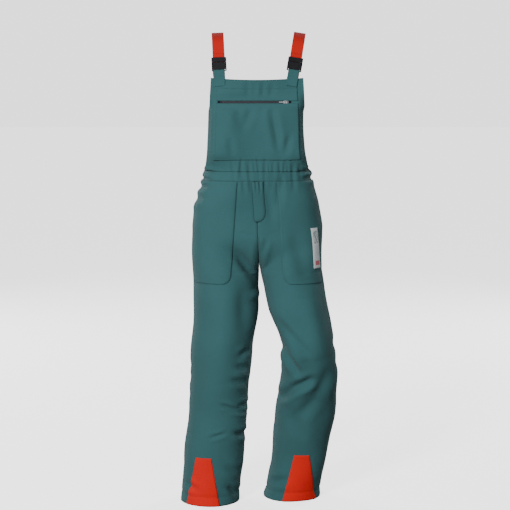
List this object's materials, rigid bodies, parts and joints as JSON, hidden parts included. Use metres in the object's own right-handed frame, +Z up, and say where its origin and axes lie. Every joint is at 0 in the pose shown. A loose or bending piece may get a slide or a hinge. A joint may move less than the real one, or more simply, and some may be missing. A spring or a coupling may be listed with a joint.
{
  "type": "chainsaw protective bib overalls",
  "caption": "Chainsaw-protective bib-and-brace overalls with padded legs, buckled webbing braces, zipped chest pocket, hip pockets and signal-colour hem wedges.",
  "frame": {"origin": "on the line between the undersides of the two braces, where they rest on the shoulders, midway between front and back", "axes": "+Z up, front faces -Y, +X to the wearer's left"},
  "size_m": [0.4952, 0.3063, 1.4851],
  "materials": {
    "buckle_plastic": "satin moulded",
    "elastic": "woven elastic",
    "label_print": "printed label",
    "lining_cloth": "matte plain weave",
    "saw_pad": "layered fibre pad",
    "signal_cloth": "matte woven",
    "teal_cloth": "matte woven twill",
    "webbing": "ribbed webbing",
    "zip_metal": "satin",
    "zip_tape": "knitted tape"
  },
  "bodies": {
    "garment": {"back_panel": "teal_cloth", "back_yoke": "teal_cloth", "bib_facing": "teal_cloth", "bib_front": "teal_cloth", "chest_pocket_panel": "teal_cloth", "chest_pocket_yoke": "teal_cloth", "chest_zip_bottom_stop": "zip_metal", "chest_zip_tape_lower": "zip_tape", "chest_zip_tape_upper": "zip_tape", "chest_zip_teeth_lower": "zip_metal", "chest_zip_teeth_upper": "zip_metal", "chest_zip_top_stop_lower": "zip_metal", "chest_zip_top_stop_upper": "zip_metal", "fly_cover": "teal_cloth", "fly_shield": "lining_cloth", "fly_zip_bottom_stop": "zip_metal", "fly_zip_tape_left": "zip_tape", "fly_zip_tape_right": "zip_tape", "fly_zip_teeth_left": "zip_metal", "fly_zip_teeth_right": "zip_metal", "fly_zip_top_stop_left": "zip_metal", "fly_zip_top_stop_right": "zip_metal", "left_bib_tab": "teal_cloth", "left_buckle_socket": "buckle_plastic", "left_hem_band": "teal_cloth", "left_hem_patch": "signal_cloth", "left_hip_pocket": "teal_cloth", "left_leg_back": "teal_cloth", "left_leg_front": "teal_cloth", "left_leg_lining": "lining_cloth", "left_saw_pad": "saw_pad", "right_bib_tab": "teal_cloth", "right_buckle_socket": "buckle_plastic", "right_hem_band": "teal_cloth", "right_hem_patch": "signal_cloth", "right_hip_pocket": "teal_cloth", "right_leg_back": "teal_cloth", "right_leg_front": "teal_cloth", "right_leg_lining": "lining_cloth", "right_saw_pad": "saw_pad", "thigh_label": "label_print", "waist_elastic": "elastic", "waistband_back": "teal_cloth", "waistband_front": "teal_cloth"},
    "chest_zip_slider": {"chest_zip_slider": "zip_metal"},
    "chest_zip_puller": {"chest_zip_puller": "zip_metal"},
    "fly_zip_slider": {"fly_zip_slider": "zip_metal"},
    "fly_zip_puller": {"fly_zip_puller": "zip_metal"},
    "right_brace": {"right_brace_webbing": "webbing", "right_buckle_plug": "buckle_plastic"},
    "right_outer_prong": {"right_outer_prong": "buckle_plastic"},
    "right_inner_prong": {"right_inner_prong": "buckle_plastic"},
    "left_brace": {"left_brace_webbing": "webbing", "left_buckle_plug": "buckle_plastic"},
    "left_outer_prong": {"left_outer_prong": "buckle_plastic"},
    "left_inner_prong": {"left_inner_prong": "buckle_plastic"}
  },
  "joints": [
    {"name": "chest_zip_slide", "type": "slide", "parent": "garment", "child": "chest_zip_slider", "axis": [-1, 0, 0], "range_m": [0, 0.186]},
    {"name": "chest_puller_swing", "type": "hinge", "parent": "chest_zip_slider", "child": "chest_zip_puller", "pos_m": [0.086, -0.1308, -0.2085], "axis": [0, 0, 1], "range_deg": [0, 170]},
    {"name": "fly_zip_slide", "type": "slide", "parent": "garment", "child": "fly_zip_slider", "axis": [0.069, 0, -0.9976], "range_m": [0, 0.09]},
    {"name": "fly_puller_swing", "type": "hinge", "parent": "fly_zip_slider", "child": "fly_zip_puller", "pos_m": [-0.00641, -0.1238, -0.46773], "axis": [-0.9976, 0, -0.069], "range_deg": [0, 3]},
    {"name": "right_brace_lift", "type": "slide", "parent": "garment", "child": "right_brace", "axis": [-0.0436, 0, 0.999], "range_m": [0, 0.022]},
    {"name": "right_outer_prong_flex", "type": "hinge", "parent": "right_brace", "child": "right_outer_prong", "pos_m": [-0.12863, -0.1228, -0.08789], "axis": [0, -1, 0], "range_deg": [0, 21]},
    {"name": "right_inner_prong_flex", "type": "hinge", "parent": "right_brace", "child": "right_inner_prong", "pos_m": [-0.10265, -0.1228, -0.08676], "axis": [0, 1, 0], "range_deg": [0, 21]},
    {"name": "left_brace_lift", "type": "slide", "parent": "garment", "child": "left_brace", "axis": [0.1564, 0, 0.9877], "range_m": [0, 0.022]},
    {"name": "left_outer_prong_flex", "type": "hinge", "parent": "left_brace", "child": "left_outer_prong", "pos_m": [0.12844, -0.1228, -0.08966], "axis": [0, 1, 0], "range_deg": [0, 21]},
    {"name": "left_inner_prong_flex", "type": "hinge", "parent": "left_brace", "child": "left_inner_prong", "pos_m": [0.10276, -0.1228, -0.08559], "axis": [0, -1, 0], "range_deg": [0, 21]}
  ],
  "couplings": [
    {"joint": "right_outer_prong_flex", "follows": "right_brace_lift", "rad_per_m": 15.9},
    {"joint": "right_inner_prong_flex", "follows": "right_brace_lift", "rad_per_m": 15.9},
    {"joint": "left_outer_prong_flex", "follows": "left_brace_lift", "rad_per_m": 15.9},
    {"joint": "left_inner_prong_flex", "follows": "left_brace_lift", "rad_per_m": 15.9}
  ]
}
